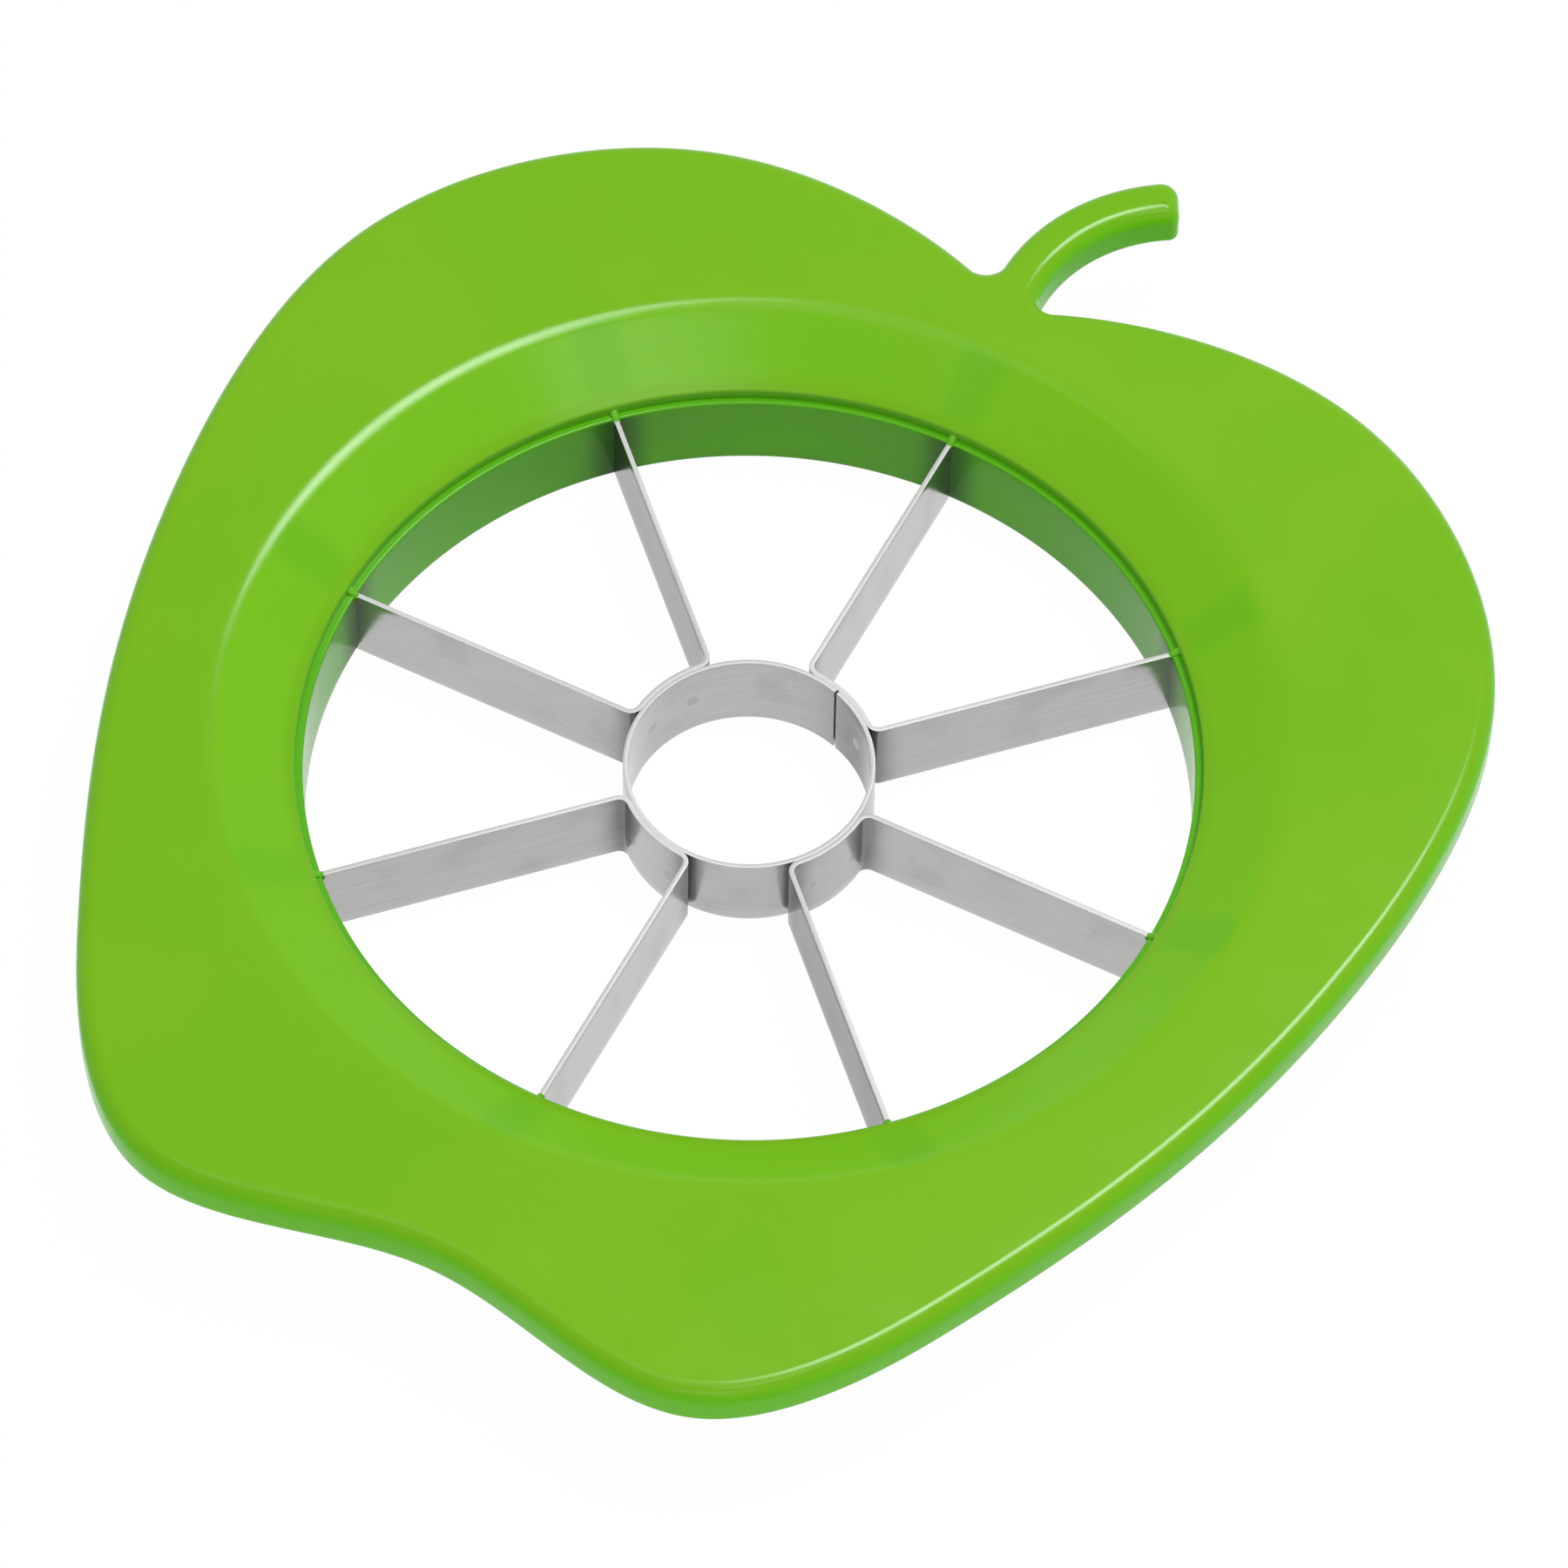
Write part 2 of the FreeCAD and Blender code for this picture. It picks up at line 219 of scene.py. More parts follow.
# Sizes of the surface patterns, as repeats per metre
CLOUD_SCALE = 28.0
HAZE_SCALE = 190.0
WAVE_SCALE = 75.0
PORE_SCALE = 2600.0
GRAIN_SCALE = (120.0, 9000.0, 1.0)
BAND_SCALE = (60.0, 1800.0, 1.0)
SMUDGE_SCALE = 160.0
MOTTLE_SCALE = 3200.0

# Steel: colours as red, green and blue from 0 to 255
STEELS = {
    "low": (174, 173, 171),
    "high": (186, 186, 184),
    # colour of the painted shade and of the smudges on the steel
    "darkening": (62, 61, 59),
    # painted light: the top edges are a pale matt grey for the light they catch
    "edge": (180, 180, 179),
    "weld_low": (160, 159, 157),
    "weld_high": (178, 177, 175),
}

# Camera: direction and distance of the photograph's viewpoint, how far its axis misses the middle of the
# ring's top, and its focal length in pixels of the photograph
VIEW_AZIMUTH = 26.28
VIEW_ELEVATION = 55.574
VIEW_ROLL = 1.099
VIEW_DISTANCE = 1148.5
VIEW_RIGHT = 3.517
VIEW_UP = -2.102
FOCAL_PIXELS = 13073.8
PHOTO_PIXELS = 1800
SENSOR_WIDTH = 36.0

# Studio: white share of the floor as it is seen, strength of the white surround as a light, and lamps as
# (azimuth, elevation, (width, height) in metres, power in watts), at a distance in metres
FLOOR_GLOW = 0.98
FLOOR_SPAN = 3.0
FLOOR_WHITE = 0.9
SURROUND_LIGHT = 0.4
LAMP_DISTANCE = 1.2
LAMP_TARGET = (0, 0, 0.01)
LAMPS = {
    "left_strip": (66, 66, (0.2, 0.5), 5.2),
    "front_patch": (-32, 65, (0.5, 0.28), 1.9),
    "overhead": (-150, 80, (0.6, 0.6), 2.0),
}
# Lamps that only show as highlights
HIGHLIGHTS = {
    "crest_sheen": (64, 69, (0.5, 0.55), 17.0),
    "camera_sheen": (-64, 34, (0.8, 0.5), 2.2),
}


def unit(azimuth):
    """Unit vectors in plan at azimuths in degrees, counter-clockwise from +X."""
    angle = np.radians(azimuth)
    return np.stack([np.cos(angle), np.sin(angle)], axis=-1)


def left_of(vectors):
    """Plan vectors turned a quarter turn counter-clockwise."""
    return np.stack([-vectors[..., 1], vectors[..., 0]], axis=-1)


def grid_faces(rows, columns, closed):
    """Quads of a grid of rows by columns; closed joins the last column to the first."""
    last = columns if closed else columns - 1
    row, column = np.meshgrid(np.arange(rows - 1), np.arange(last), indexing="ij")
    here = row * columns + column
    wall_blade_shade = row * columns + (column + 1) % columns
    return np.stack([here, wall_blade_shade, wall_blade_shade + columns, here + columns], axis=-1).reshape(-1, 4)


def flat_fill(outer, inner, height):
    """Flat face at a height between an outer and an inner closed outline, as vertices and triangles."""
    points = np.concatenate([outer, inner])
    loops = [[Vector((x, y, 0)) for x, y in loop] for loop in (outer, inner)]
    triangles = np.array(tessellate_polygon(loops))
    return np.column_stack([points, np.full(len(points), height)]), triangles


def make_piece(name, surfaces, finish, uv=None, crease=35.0, merge=True):
    """Object from surfaces (vertices in mm, faces, smooth), joined along their edges, facing outwards."""
    vertices = np.concatenate([surface[0].reshape(-1, 3) for surface in surfaces])
    faces, smooth, offset = [], [], 0
    for points, quads, is_smooth in surfaces:
        faces += (quads + offset).tolist()
        smooth += [is_smooth] * len(quads)
        offset += points.reshape(-1, 3).shape[0]
    mesh = bpy.data.meshes.new(name)
    mesh.from_pydata((vertices * MM).tolist(), [], faces)
    mesh.polygons.foreach_set("use_smooth", np.array(smooth))
    if uv is not None:
        corners = np.empty(len(mesh.loops), dtype=np.int32)
        mesh.loops.foreach_get("vertex_index", corners)
        layer = mesh.uv_layers.new(name="along")
        layer.data.foreach_set("uv", (uv.reshape(-1, 2)[corners] * MM).ravel())
    body = bmesh.new()
    body.from_mesh(mesh)
    if merge:
        bmesh.ops.remove_doubles(body, verts=body.verts, dist=2e-6)
        bmesh.ops.dissolve_degenerate(body, edges=body.edges, dist=1e-6)
    bmesh.ops.recalc_face_normals(body, faces=body.faces)
    body.to_mesh(mesh)
    body.free()
    mesh.set_sharp_from_angle(angle=math.radians(crease))
    mesh.materials.append(finish)
    piece = bpy.data.objects.new(name, mesh)
    bpy.context.scene.collection.objects.link(piece)
    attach(piece, "root")
    return piece


# The green moulding

def spline_points(points, count):
    """Cubic spline through points on chord lengths, with the end slopes of a cubic through four points.

    Returns count positions at even parameters and the outward normals there, for a clockwise outline.
    """
    steps = np.linalg.norm(np.diff(points, axis=0), axis=1)
    places = np.concatenate([[0.0], np.cumsum(steps)])

    def end_slope(at, near):
        powers = np.vander(places[near] - places[at], 4, increasing=True)
        return np.linalg.solve(powers, points[near])[1]

    size = len(points)
    matrix = np.eye(size)
    right = np.zeros_like(points)
    right[0] = end_slope(0, slice(0, 4))
    right[-1] = end_slope(size - 1, slice(size - 4, size))
    chords = np.diff(points, axis=0) / steps[:, None]
    inner = np.arange(1, size - 1)
    before, after = steps[:-1], steps[1:]
    matrix[inner, inner - 1] = after
    matrix[inner, inner] = 2 * (before + after)
    matrix[inner, inner + 1] = before
    right[inner] = 3 * (after[:, None] * chords[:-1] + before[:, None] * chords[1:])
    slopes = np.linalg.solve(matrix, right)

    at = np.linspace(0, places[-1], count)
    span = np.clip(np.searchsorted(places, at, side="right") - 1, 0, size - 2)
    share = ((at - places[span]) / steps[span])[:, None]
    length = steps[span][:, None]
    start, end = points[span], points[span + 1]
    leave, arrive = slopes[span] * length, slopes[span + 1] * length
    bend = 2 * start - 2 * end + leave + arrive
    lean = 3 * end - 3 * start - 2 * leave - arrive
    position = start + share * (leave + share * (lean + share * bend))
    tangent = leave + share * (2 * lean + 3 * share * bend)
    normal = left_of(tangent / np.linalg.norm(tangent, axis=1)[:, None])
    return position, normal


def apple_outline(count=OUTLINE_POINTS):
    """Outline of the flange without the stem, clockwise from the dip at the stem, with its normals."""
    turns, widths = np.array(FLANGE_WIDTHS, dtype=float).T
    right = unit(90 - turns) * (CREST_RADIUS + widths)[:, None]
    left = right[-2::-1] * [-1, 1]
    return spline_points(np.concatenate([right, left]), count)


def fillet_centre(apple, distance, rounding):
    """Centre of a fillet beside the stem: on a circle about the bend, one rounding off the apple."""
    centres = STEM_CENTRE + unit(FILLET_AZIMUTHS) * distance
    gaps = np.linalg.norm(centres[:, None] - apple[None], axis=2).min(axis=1)
    first = np.argmax(gaps < rounding)
    return centres[first]


def arc_points(centre, radius, start, end, count, outward=1):
    """Points and outward normals along the shorter arc between two azimuths; outward -1 faces its centre."""
    sweep = (end - start + 180) % 360 - 180
    directions = unit(start + sweep * np.linspace(0, 1, count))
    return centre + directions * radius, directions * outward


def azimuth_of(vector):
    """Azimuth of one plan vector, in degrees from 0 to 360."""
    return math.degrees(math.atan2(vector[1], vector[0])) % 360


def flange_outline():
    """Outline of apple and stem with its normals, clockwise from the crook right of the stem."""
    apple, normals = apple_outline()
    half = len(apple) // 2
    notch = fillet_centre(apple[half:], STEM_OUTER + STEM_NOTCH_ROUND, STEM_NOTCH_ROUND)
    crook = fillet_centre(apple[:half], STEM_INNER - STEM_CROOK_ROUND, STEM_CROOK_ROUND)
    first = np.linalg.norm(apple[:half] - crook, axis=1).argmin()
    last = half + np.linalg.norm(apple[half:] - notch, axis=1).argmin()
    notch_azimuth = azimuth_of(notch - STEM_CENTRE)
    crook_azimuth = azimuth_of(crook - STEM_CENTRE)
    tip_outward = unit(STEM_TIP - 90)
    corner_outer = STEM_OUTER - STEM_TIP_OUTER_ROUND
    corner_inner = STEM_INNER + STEM_TIP_INNER_ROUND
    lean_outer = math.degrees(math.asin(STEM_TIP_OUTER_ROUND / corner_outer))
    lean_inner = math.degrees(math.asin(STEM_TIP_INNER_ROUND / corner_inner))
    centre_outer = STEM_CENTRE + unit(STEM_TIP + lean_outer) * corner_outer
    centre_inner = STEM_CENTRE + unit(STEM_TIP + lean_inner) * corner_inner
    tip_spread = np.linspace(1, 0, STEM_POINTS["tip"] + 2)[1:-1, None]
    tip_start = centre_outer + tip_outward * STEM_TIP_OUTER_ROUND
    tip_end = centre_inner + tip_outward * STEM_TIP_INNER_ROUND
    outer_end = STEM_TIP + lean_outer
    inner_end = STEM_TIP + lean_inner
    notch_start = azimuth_of(apple[last] - notch)
    crook_end = azimuth_of(apple[first] - crook)
    count = STEM_POINTS
    pieces = [
        (apple[first:last + 1], normals[first:last + 1]),
        arc_points(notch, STEM_NOTCH_ROUND, notch_start, notch_azimuth - 180, count["notch"], -1),
        arc_points(STEM_CENTRE, STEM_OUTER, notch_azimuth, outer_end, count["outside"]),
        arc_points(centre_outer, STEM_TIP_OUTER_ROUND, outer_end, STEM_TIP - 90, count["corner"]),
        (tip_end + (tip_start - tip_end) * tip_spread, np.broadcast_to(tip_outward, (count["tip"], 2))),
        arc_points(centre_inner, STEM_TIP_INNER_ROUND, STEM_TIP - 90, inner_end - 180, count["corner"]),
        arc_points(STEM_CENTRE, STEM_INNER, inner_end, crook_azimuth, count["inside"], -1),
        arc_points(crook, STEM_CROOK_ROUND, crook_azimuth, crook_end, count["crook"], -1),
    ]
    points = np.concatenate([piece[0] for piece in pieces])
    normals = np.concatenate([piece[1] for piece in pieces])
    keep = np.linalg.norm(points - np.roll(points, 1, axis=0), axis=1) > LEAST_STEP
    return points[keep], normals[keep]


def inset_outline(points, normals, inset):
    """Outline moved inward by an inset, kept the same distance clear of the stem's sides and tip.

    Beyond the rounding of the stem's corners, plain inset points would cross, so those near the tip are
    held in polar form about the bend between both sides and the tip line, each moved in by the inset.
    """
    moved = points - normals * inset
    offset = points - STEM_CENTRE
    azimuth = np.degrees(np.arctan2(offset[:, 1], offset[:, 0]))
    radius = np.linalg.norm(offset, axis=1)
    across_stem = np.abs(radius - STEM_BEND_RADIUS) < STEM_WIDTH / 2 + TIP_SLACK
    near_tip = across_stem & (np.abs(azimuth - STEM_TIP) < TIP_REACH)
    held = moved[near_tip] - STEM_CENTRE
    radius = np.clip(np.linalg.norm(held, axis=1), STEM_INNER + inset, STEM_OUTER - inset)
    least = STEM_TIP + np.degrees(np.arcsin(inset / radius))
    azimuth = np.maximum(np.degrees(np.arctan2(held[:, 1], held[:, 0])), least)
    moved[near_tip] = STEM_CENTRE + unit(azimuth) * radius[:, None]
    return moved


def fillet_path(corners, steps=8):
    """Open path through corners (radius, height, rounding), each rounded by an arc of some steps."""
    points = np.array([corner[:2] for corner in corners], dtype=float)
    path = [points[:1]]
    for index in range(1, len(corners) - 1):
        corner, rounding = points[index], corners[index][2]
        if rounding == 0:
            path.append(corner[None])
            continue
        before = points[index - 1] - corner
        after = points[index + 1] - corner
        before /= np.linalg.norm(before)
        after /= np.linalg.norm(after)
        half = math.acos(np.clip(before @ after, -1, 1)) / 2
        reach = rounding / math.tan(half)
        start = corner + before * reach
        middle = corner + (before + after) / np.linalg.norm(before + after) * rounding / math.sin(half)
        sweep = math.pi - 2 * half
        turn = np.linspace(0, sweep, steps + 1)[:, None]
        from_middle = start - middle
        sideways = -before * rounding
        path.append(middle + from_middle * np.cos(turn) + sideways * np.sin(turn))
    path.append(points[-1:])
    return np.concatenate(path)


def thin_rows(path):
    """Path with extra points so that no step is longer than LONGEST_STEP."""
    rows = [path[:1]]
    for start, end in zip(path[:-1], path[1:]):
        count = max(1, math.ceil(np.linalg.norm(end - start) / LONGEST_STEP))
        rows.append(start + (end - start) * np.linspace(0, 1, count + 1)[1:, None])
    return np.concatenate(rows)


def stacked(loops, heights):
    """Grid of outlines one above another."""
    levels = [np.full(len(loop), height) for loop, height in zip(loops, heights)]
    return np.stack([np.column_stack(pair) for pair in zip(loops, levels)])


def green_moulding(finish):
    """Flange, stem, funnel, ring wall and pocket as one closed surface.

    Each part is a grid: a section (inset from the outline, height) carried along the outline, or a section
    (radius, height) turned about the axis. Flat faces close the gaps between them.
    """
    quarter = np.linspace(0, math.pi / 2, EDGE_ROWS)
    small_quarter = np.linspace(0, math.pi / 2, SMALL_EDGE_ROWS)
    side = np.concatenate([
        np.column_stack([EDGE_ROUND * (1 - np.sin(quarter)),
                         FLANGE_TOP - EDGE_ROUND * (1 - np.cos(quarter))]),
        np.column_stack([LIP_EDGE_ROUND * (1 - np.cos(small_quarter)),
                         LIP_BOTTOM + LIP_EDGE_ROUND * (1 - np.sin(small_quarter))]),
    ])
    points, normals = flange_outline()
    outer = stacked([inset_outline(points, normals, inset) for inset in side[:, 0]], side[:, 1])

    pocket = np.concatenate([
        [[LIP_WALL, LIP_BOTTOM]],
        np.column_stack([LIP_WALL + POCKET_ROUND * (1 - np.cos(small_quarter)),
                         POCKET_ROOF - POCKET_ROUND * (1 - np.sin(small_quarter))]),
    ])
    apple, apple_normals = apple_outline(POCKET_POINTS)
    inner = stacked([apple - apple_normals * inset for inset in pocket[:, 0]], pocket[:, 1])

    drop = FLANGE_WALL / math.cos(FUNNEL_SLOPE)
    wall_outside = RING_BORE_RADIUS + RING_WALL
    under_wall = RISER_TOP - drop + (wall_outside - RISER_RADIUS) * math.tan(FUNNEL_SLOPE)
    under_crest = wall_outside + (POCKET_ROOF - under_wall) / math.tan(FUNNEL_SLOPE)
    crest_end = CREST_RADIUS + CREST_ROUND * math.tan(FUNNEL_SLOPE / 2)
    roof_start = under_crest + POCKET_ROUND * math.tan(FUNNEL_SLOPE / 2)
    section = thin_rows(fillet_path([
        (crest_end, FLANGE_TOP, 0),
        (CREST_RADIUS, FLANGE_TOP, CREST_ROUND),
        (RISER_RADIUS, RISER_TOP, RISER_ROUND),
        (RISER_RADIUS, RING_DEPTH, 0),
        (RING_BORE_RADIUS, RING_DEPTH, LEDGE_ROUND),
        (RING_BORE_RADIUS, 0, RING_FOOT_ROUND),
        (wall_outside, 0, RING_FOOT_ROUND),
        (wall_outside, under_wall, POCKET_ROUND),
        (under_crest, POCKET_ROOF, POCKET_ROUND),
        (roof_start, POCKET_ROOF, 0),
    ]))
    azimuths = np.arange(TURNED_COLUMNS) * 360 / TURNED_COLUMNS
    turned = np.empty((len(section), len(azimuths), 3))
    turned[..., :2] = section[:, 0, None, None] * unit(azimuths)[None]
    turned[..., 2] = section[:, 1, None]

    return make_piece("green_moulding", [
        (outer, grid_faces(*outer.shape[:2], True), True),
        (inner, grid_faces(*inner.shape[:2], True), True),
        (turned, grid_faces(*turned.shape[:2], True), True),
        (*flat_fill(outer[0, :, :2], turned[0, :, :2], FLANGE_TOP), False),
        (*flat_fill(outer[-1, :, :2], inner[0, :, :2], LIP_BOTTOM), False),
        (*flat_fill(inner[-1, :, :2], turned[-1, :, :2], POCKET_ROOF), False),
    ], finish)


def blade_beads(finish):
    """Beads of the moulding over the blade ends, each a round rod that runs up the riser into the funnel.

    The rod starts in a dome, r = R sin t at R cos t before its start, and widens by a square law uphill.
    """
    turn = np.linspace(0, math.pi / 2, 9)
    uphill = np.linspace(0, 1, 7)[1:]
    place = np.concatenate([-BEAD_RADIUS * np.cos(turn), BEAD_LENGTH * uphill, [BEAD_LENGTH]])
    widening = BEAD_RADIUS * (1 + BEAD_FLARE * uphill ** 2)
    radius = np.concatenate([BEAD_RADIUS * np.sin(turn), widening, [0.0]])
    around = np.linspace(0, 2 * math.pi, 25)[:-1]
    rise = radius[:, None] * np.sin(around)
    height = place[:, None] * math.sin(FUNNEL_SLOPE) + rise * math.cos(FUNNEL_SLOPE)
    surfaces = []
    for azimuth in leg_azimuths():
        out = unit(azimuth)
        level = place[:, None] * math.cos(FUNNEL_SLOPE) - rise * math.sin(FUNNEL_SLOPE)
        sideways = (radius[:, None] * np.cos(around))[..., None] * left_of(out)
        bead = np.empty((len(place), len(around), 3))
        bead[..., :2] = (RING_BORE_RADIUS + level)[..., None] * out + sideways
        bead[..., 2] = RING_DEPTH - BEAD_DROP + height
        surfaces.append((bead, grid_faces(len(place), len(around), True), True))
    return make_piece("blade_beads", surfaces, finish)


# The steel insert

def pair_azimuths():
    """Azimuth of each blade strip's bisector; the strips follow each other clockwise."""
    return [FIRST_PAIR_AZIMUTH - pair * 360.0 / PAIR_COUNT for pair in range(PAIR_COUNT)]


def leg_azimuths():
    """Azimuth of every blade leg."""
    return [azimuth + side * LEG_ANGLE for azimuth in pair_azimuths() for side in (1, -1)]


def top_edge(half):
    """Offsets and heights of a strip's slightly rounded top edge, from a face at the offset half."""
    turn = np.linspace(0, math.pi / 2, EDGE_TURN_ROWS)
    return half - STRIP_EDGE_ROUND * (1 - np.cos(turn)), RING_DEPTH - STRIP_EDGE_ROUND * (1 - np.sin(turn))


def strip_section():
    """Closed section of the strip (offset, height): ground below, slightly rounded along the top edge."""
    half = STRIP_THICKNESS / 2
    ground = GROUND_THICKNESS / 2
    top_out, top_up = top_edge(half)
    rows = np.linspace(GROUND_HEIGHT, top_up[0], SIDE_ROWS)[1:-1]
    right = np.concatenate([
        [[ground, 0.0], [half, GROUND_HEIGHT]],
        np.column_stack([np.full(len(rows), half), rows]),
        np.column_stack([top_out, top_up]),
    ])
    return np.concatenate([right, right[::-1] * [-1, 1]])


def strip_path():
    """Middle line of a strip whose bisector is +X, with its left-hand normals and the distance along it.

    Each leg runs in along a radius, turns on a bend whose centre lies between the legs, and follows the
    outside of the core ring to the other leg's bend.
    """
    hug = CORE_RADIUS + STRIP_THICKNESS / 2
    bend = STRIP_BEND_RADIUS + STRIP_THICKNESS / 2
    along = unit(LEG_ANGLE)
    across = unit(LEG_ANGLE - 90)
    straight_end = math.sqrt((hug + bend) ** 2 - bend ** 2)
    centre = along * straight_end + across * bend
    hug_start = azimuth_of(centre)
    radii = np.linspace(RING_BORE_RADIUS + STRIP_EMBED, straight_end, LEG_ROWS)
    leg = along * radii[:, None]
    turn = np.linspace(LEG_ANGLE + 90, hug_start + 180, BEND_ROWS)[1:]
    corner = centre + unit(turn) * bend
    round_core = unit(np.linspace(hug_start, 0, HUG_ROWS))[1:]
    half = np.concatenate([leg, corner, round_core * hug])
    normals = np.concatenate([np.broadcast_to(across, leg.shape), -unit(turn), round_core])
    path = np.concatenate([half, half[-2::-1] * [1, -1]])
    normals = np.concatenate([normals, normals[-2::-1] * [1, -1]])
    distance = np.concatenate([[0.0], np.cumsum(np.linalg.norm(np.diff(path, axis=0), axis=1))])
    return path, normals, distance


def carried(path, normals, distance, section):
    """Grid of a closed section (offset, height) carried along a path, and its lengthwise coordinates."""
    grid = np.empty((len(path), len(section), 3))
    grid[..., :2] = path[:, None] + normals[:, None] * section[None, :, :1]
    grid[..., 2] = section[None, :, 1]
    uv = np.empty((len(path), len(section), 2))
    uv[..., 0] = distance[:, None]
    uv[..., 1] = section[None, :, 1] + FACE_SHIFT * (section[None, :, 0] < 0)
    return grid, uv


def end_caps(rows, columns):
    """Faces that close both ends of a carried section."""
    first = np.arange(columns)
    return np.stack([first[::-1], first + (rows - 1) * columns])


def steel_strip(name, azimuth, finish, shift, darkening):
    """One V-shaped strip with two blades; shift gives its grain a place of its own.

    Painted shade darkens it by CORNER_SHADE exp(-(d / CORNER_REACH)^2) at a distance d from each bend,
    where the strip meets the core ring, and each blade's own painted shade darkens it along its whole
    length.
    """
    path, normals, distance = strip_path()
    section = strip_section()
    grid, uv = carried(path, normals, distance + shift, section)
    out = unit(azimuth)
    turn = np.array([[out[0], out[1]], [-out[1], out[0]]])
    grid[..., :2] = grid[..., :2] @ turn
    radius = np.linalg.norm(path, axis=1)
    bend = np.abs(distance[:, None] - distance[[BEND_ROW, -1 - BEND_ROW]]).min(axis=1)
    on_leg = np.clip((radius - CORE_RADIUS - 1) / 2, 0, 1)
    blade = np.where(np.arange(len(path)) < len(path) // 2, darkening[0], darkening[1])
    # painted shade at the bends and along two of the blades
    painted_shade = CORNER_SHADE * np.exp(-(bend / CORNER_REACH) ** 2) + blade * on_leg
    return carried_piece(name, grid, uv, finish, painted_shade)


def carried_piece(name, grid, uv, finish, painted_shade):
    """Steel piece from a carried section with both ends closed, and a painted shade value for each of its
    rows.
    """
    rows, columns = grid.shape[:2]
    sides = grid_faces(rows, columns, True)
    piece = make_piece(name, [(grid, sides, True)], finish, uv=uv, crease=30.0, merge=False)
    body = bmesh.new()
    body.from_mesh(piece.data)
    body.verts.ensure_lookup_table()
    for loop in end_caps(rows, columns):
        body.faces.new([body.verts[index] for index in loop])
    bmesh.ops.recalc_face_normals(body, faces=body.faces)
    body.to_mesh(piece.data)
    body.free()
    layer = piece.data.attributes.new("painted_shade", "FLOAT", "POINT")
    layer.data.foreach_set("value", np.repeat(painted_shade, columns).astype(np.float32))
    return piece


def core_ring(finish):
    """Ring that cuts out the core, from one end of its strip at the seam round to the other."""
    half_gap = math.degrees(SEAM_GAP / 2 / CORE_RADIUS)
    azimuths = np.linspace(SEAM_AZIMUTH + half_gap, SEAM_AZIMUTH + 360 - half_gap, CORE_ROWS)
    radius = CORE_RADIUS - CORE_WALL / 2
    path = unit(azimuths) * radius
    half = CORE_WALL / 2
    top_out, top_up = top_edge(half)
    rows = np.linspace(GROUND_HEIGHT, top_up[0], CORE_SIDE_ROWS)[1:-1]
    section = np.concatenate([
        [[GROUND_THICKNESS - half, 0.0], [half, GROUND_HEIGHT]],
        np.column_stack([np.full(len(rows), half), rows]),
        np.column_stack([top_out, top_up]),
        np.column_stack([-top_out, top_up])[::-1],
        np.column_stack([np.full(len(rows), -half), rows[::-1]]),
        [[-half, 0.0]],
    ])
    distance = np.radians(azimuths) * radius
    grid, uv = carried(path, unit(azimuths), distance + CORE_SHIFT, section)
    # painted shade on the core ring's right-hand side
    off = (azimuths - RING_DARK_AZIMUTH + 180) % 360 - 180
    painted_shade = RING_SHADE * np.exp(-(off / RING_DARK_SPREAD) ** 2)
    return carried_piece("core_ring_strip", grid, uv, finish, painted_shade)


def weld_marks(finish):
    """Spot weld marks as shallow dished discs on both faces, where each strip lies on the core ring.

    Height over the face is a small step at the rim and a dish inside it, as a function of the distance
    from the middle; the disc is bent to the face's radius.
    """
    share, lift = np.array(WELD_PROFILE).T
    around = np.linspace(0, 2 * math.pi, 33)[:-1]
    surfaces = []
    faces = ((CORE_RADIUS + STRIP_THICKNESS, 1), (CORE_RADIUS - CORE_WALL, -1))
    for azimuth in [pair + side * WELD_SPREAD for pair in pair_azimuths() for side in (1, -1)]:
        for radius, outward in faces:
            sideways = share[:, None] * WELD_RADIUS * np.cos(around)
            upward = share[:, None] * WELD_RADIUS * np.sin(around)
            directions = unit(azimuth + np.degrees(sideways / radius))
            disc = np.empty((*sideways.shape, 3))
            disc[..., :2] = directions * (radius + outward * lift[:, None, None])
            disc[..., 2] = RING_DEPTH / 2 + upward
            surfaces.append((disc, grid_faces(len(share), len(around), True), True))
    return make_piece("weld_marks", surfaces, finish)


# Materials

class Socket:
    """A node's output that works in Python arithmetic; every operation adds a Math node."""

    def __init__(self, finish, output):
        self.finish = finish
        self.output = output

    def math(self, operation, first, second):
        return self.finish.math(operation, first, second)

    def __add__(self, other):
        return self.math("ADD", self, other)

    def __sub__(self, other):
        return self.math("SUBTRACT", self, other)

    def __mul__(self, other):
        return self.math("MULTIPLY", self, other)

    def __truediv__(self, other):
        return self.math("DIVIDE", self, other)

    def __rsub__(self, other):
        return self.math("SUBTRACT", other, self)

    __radd__ = __add__
    __rmul__ = __mul__


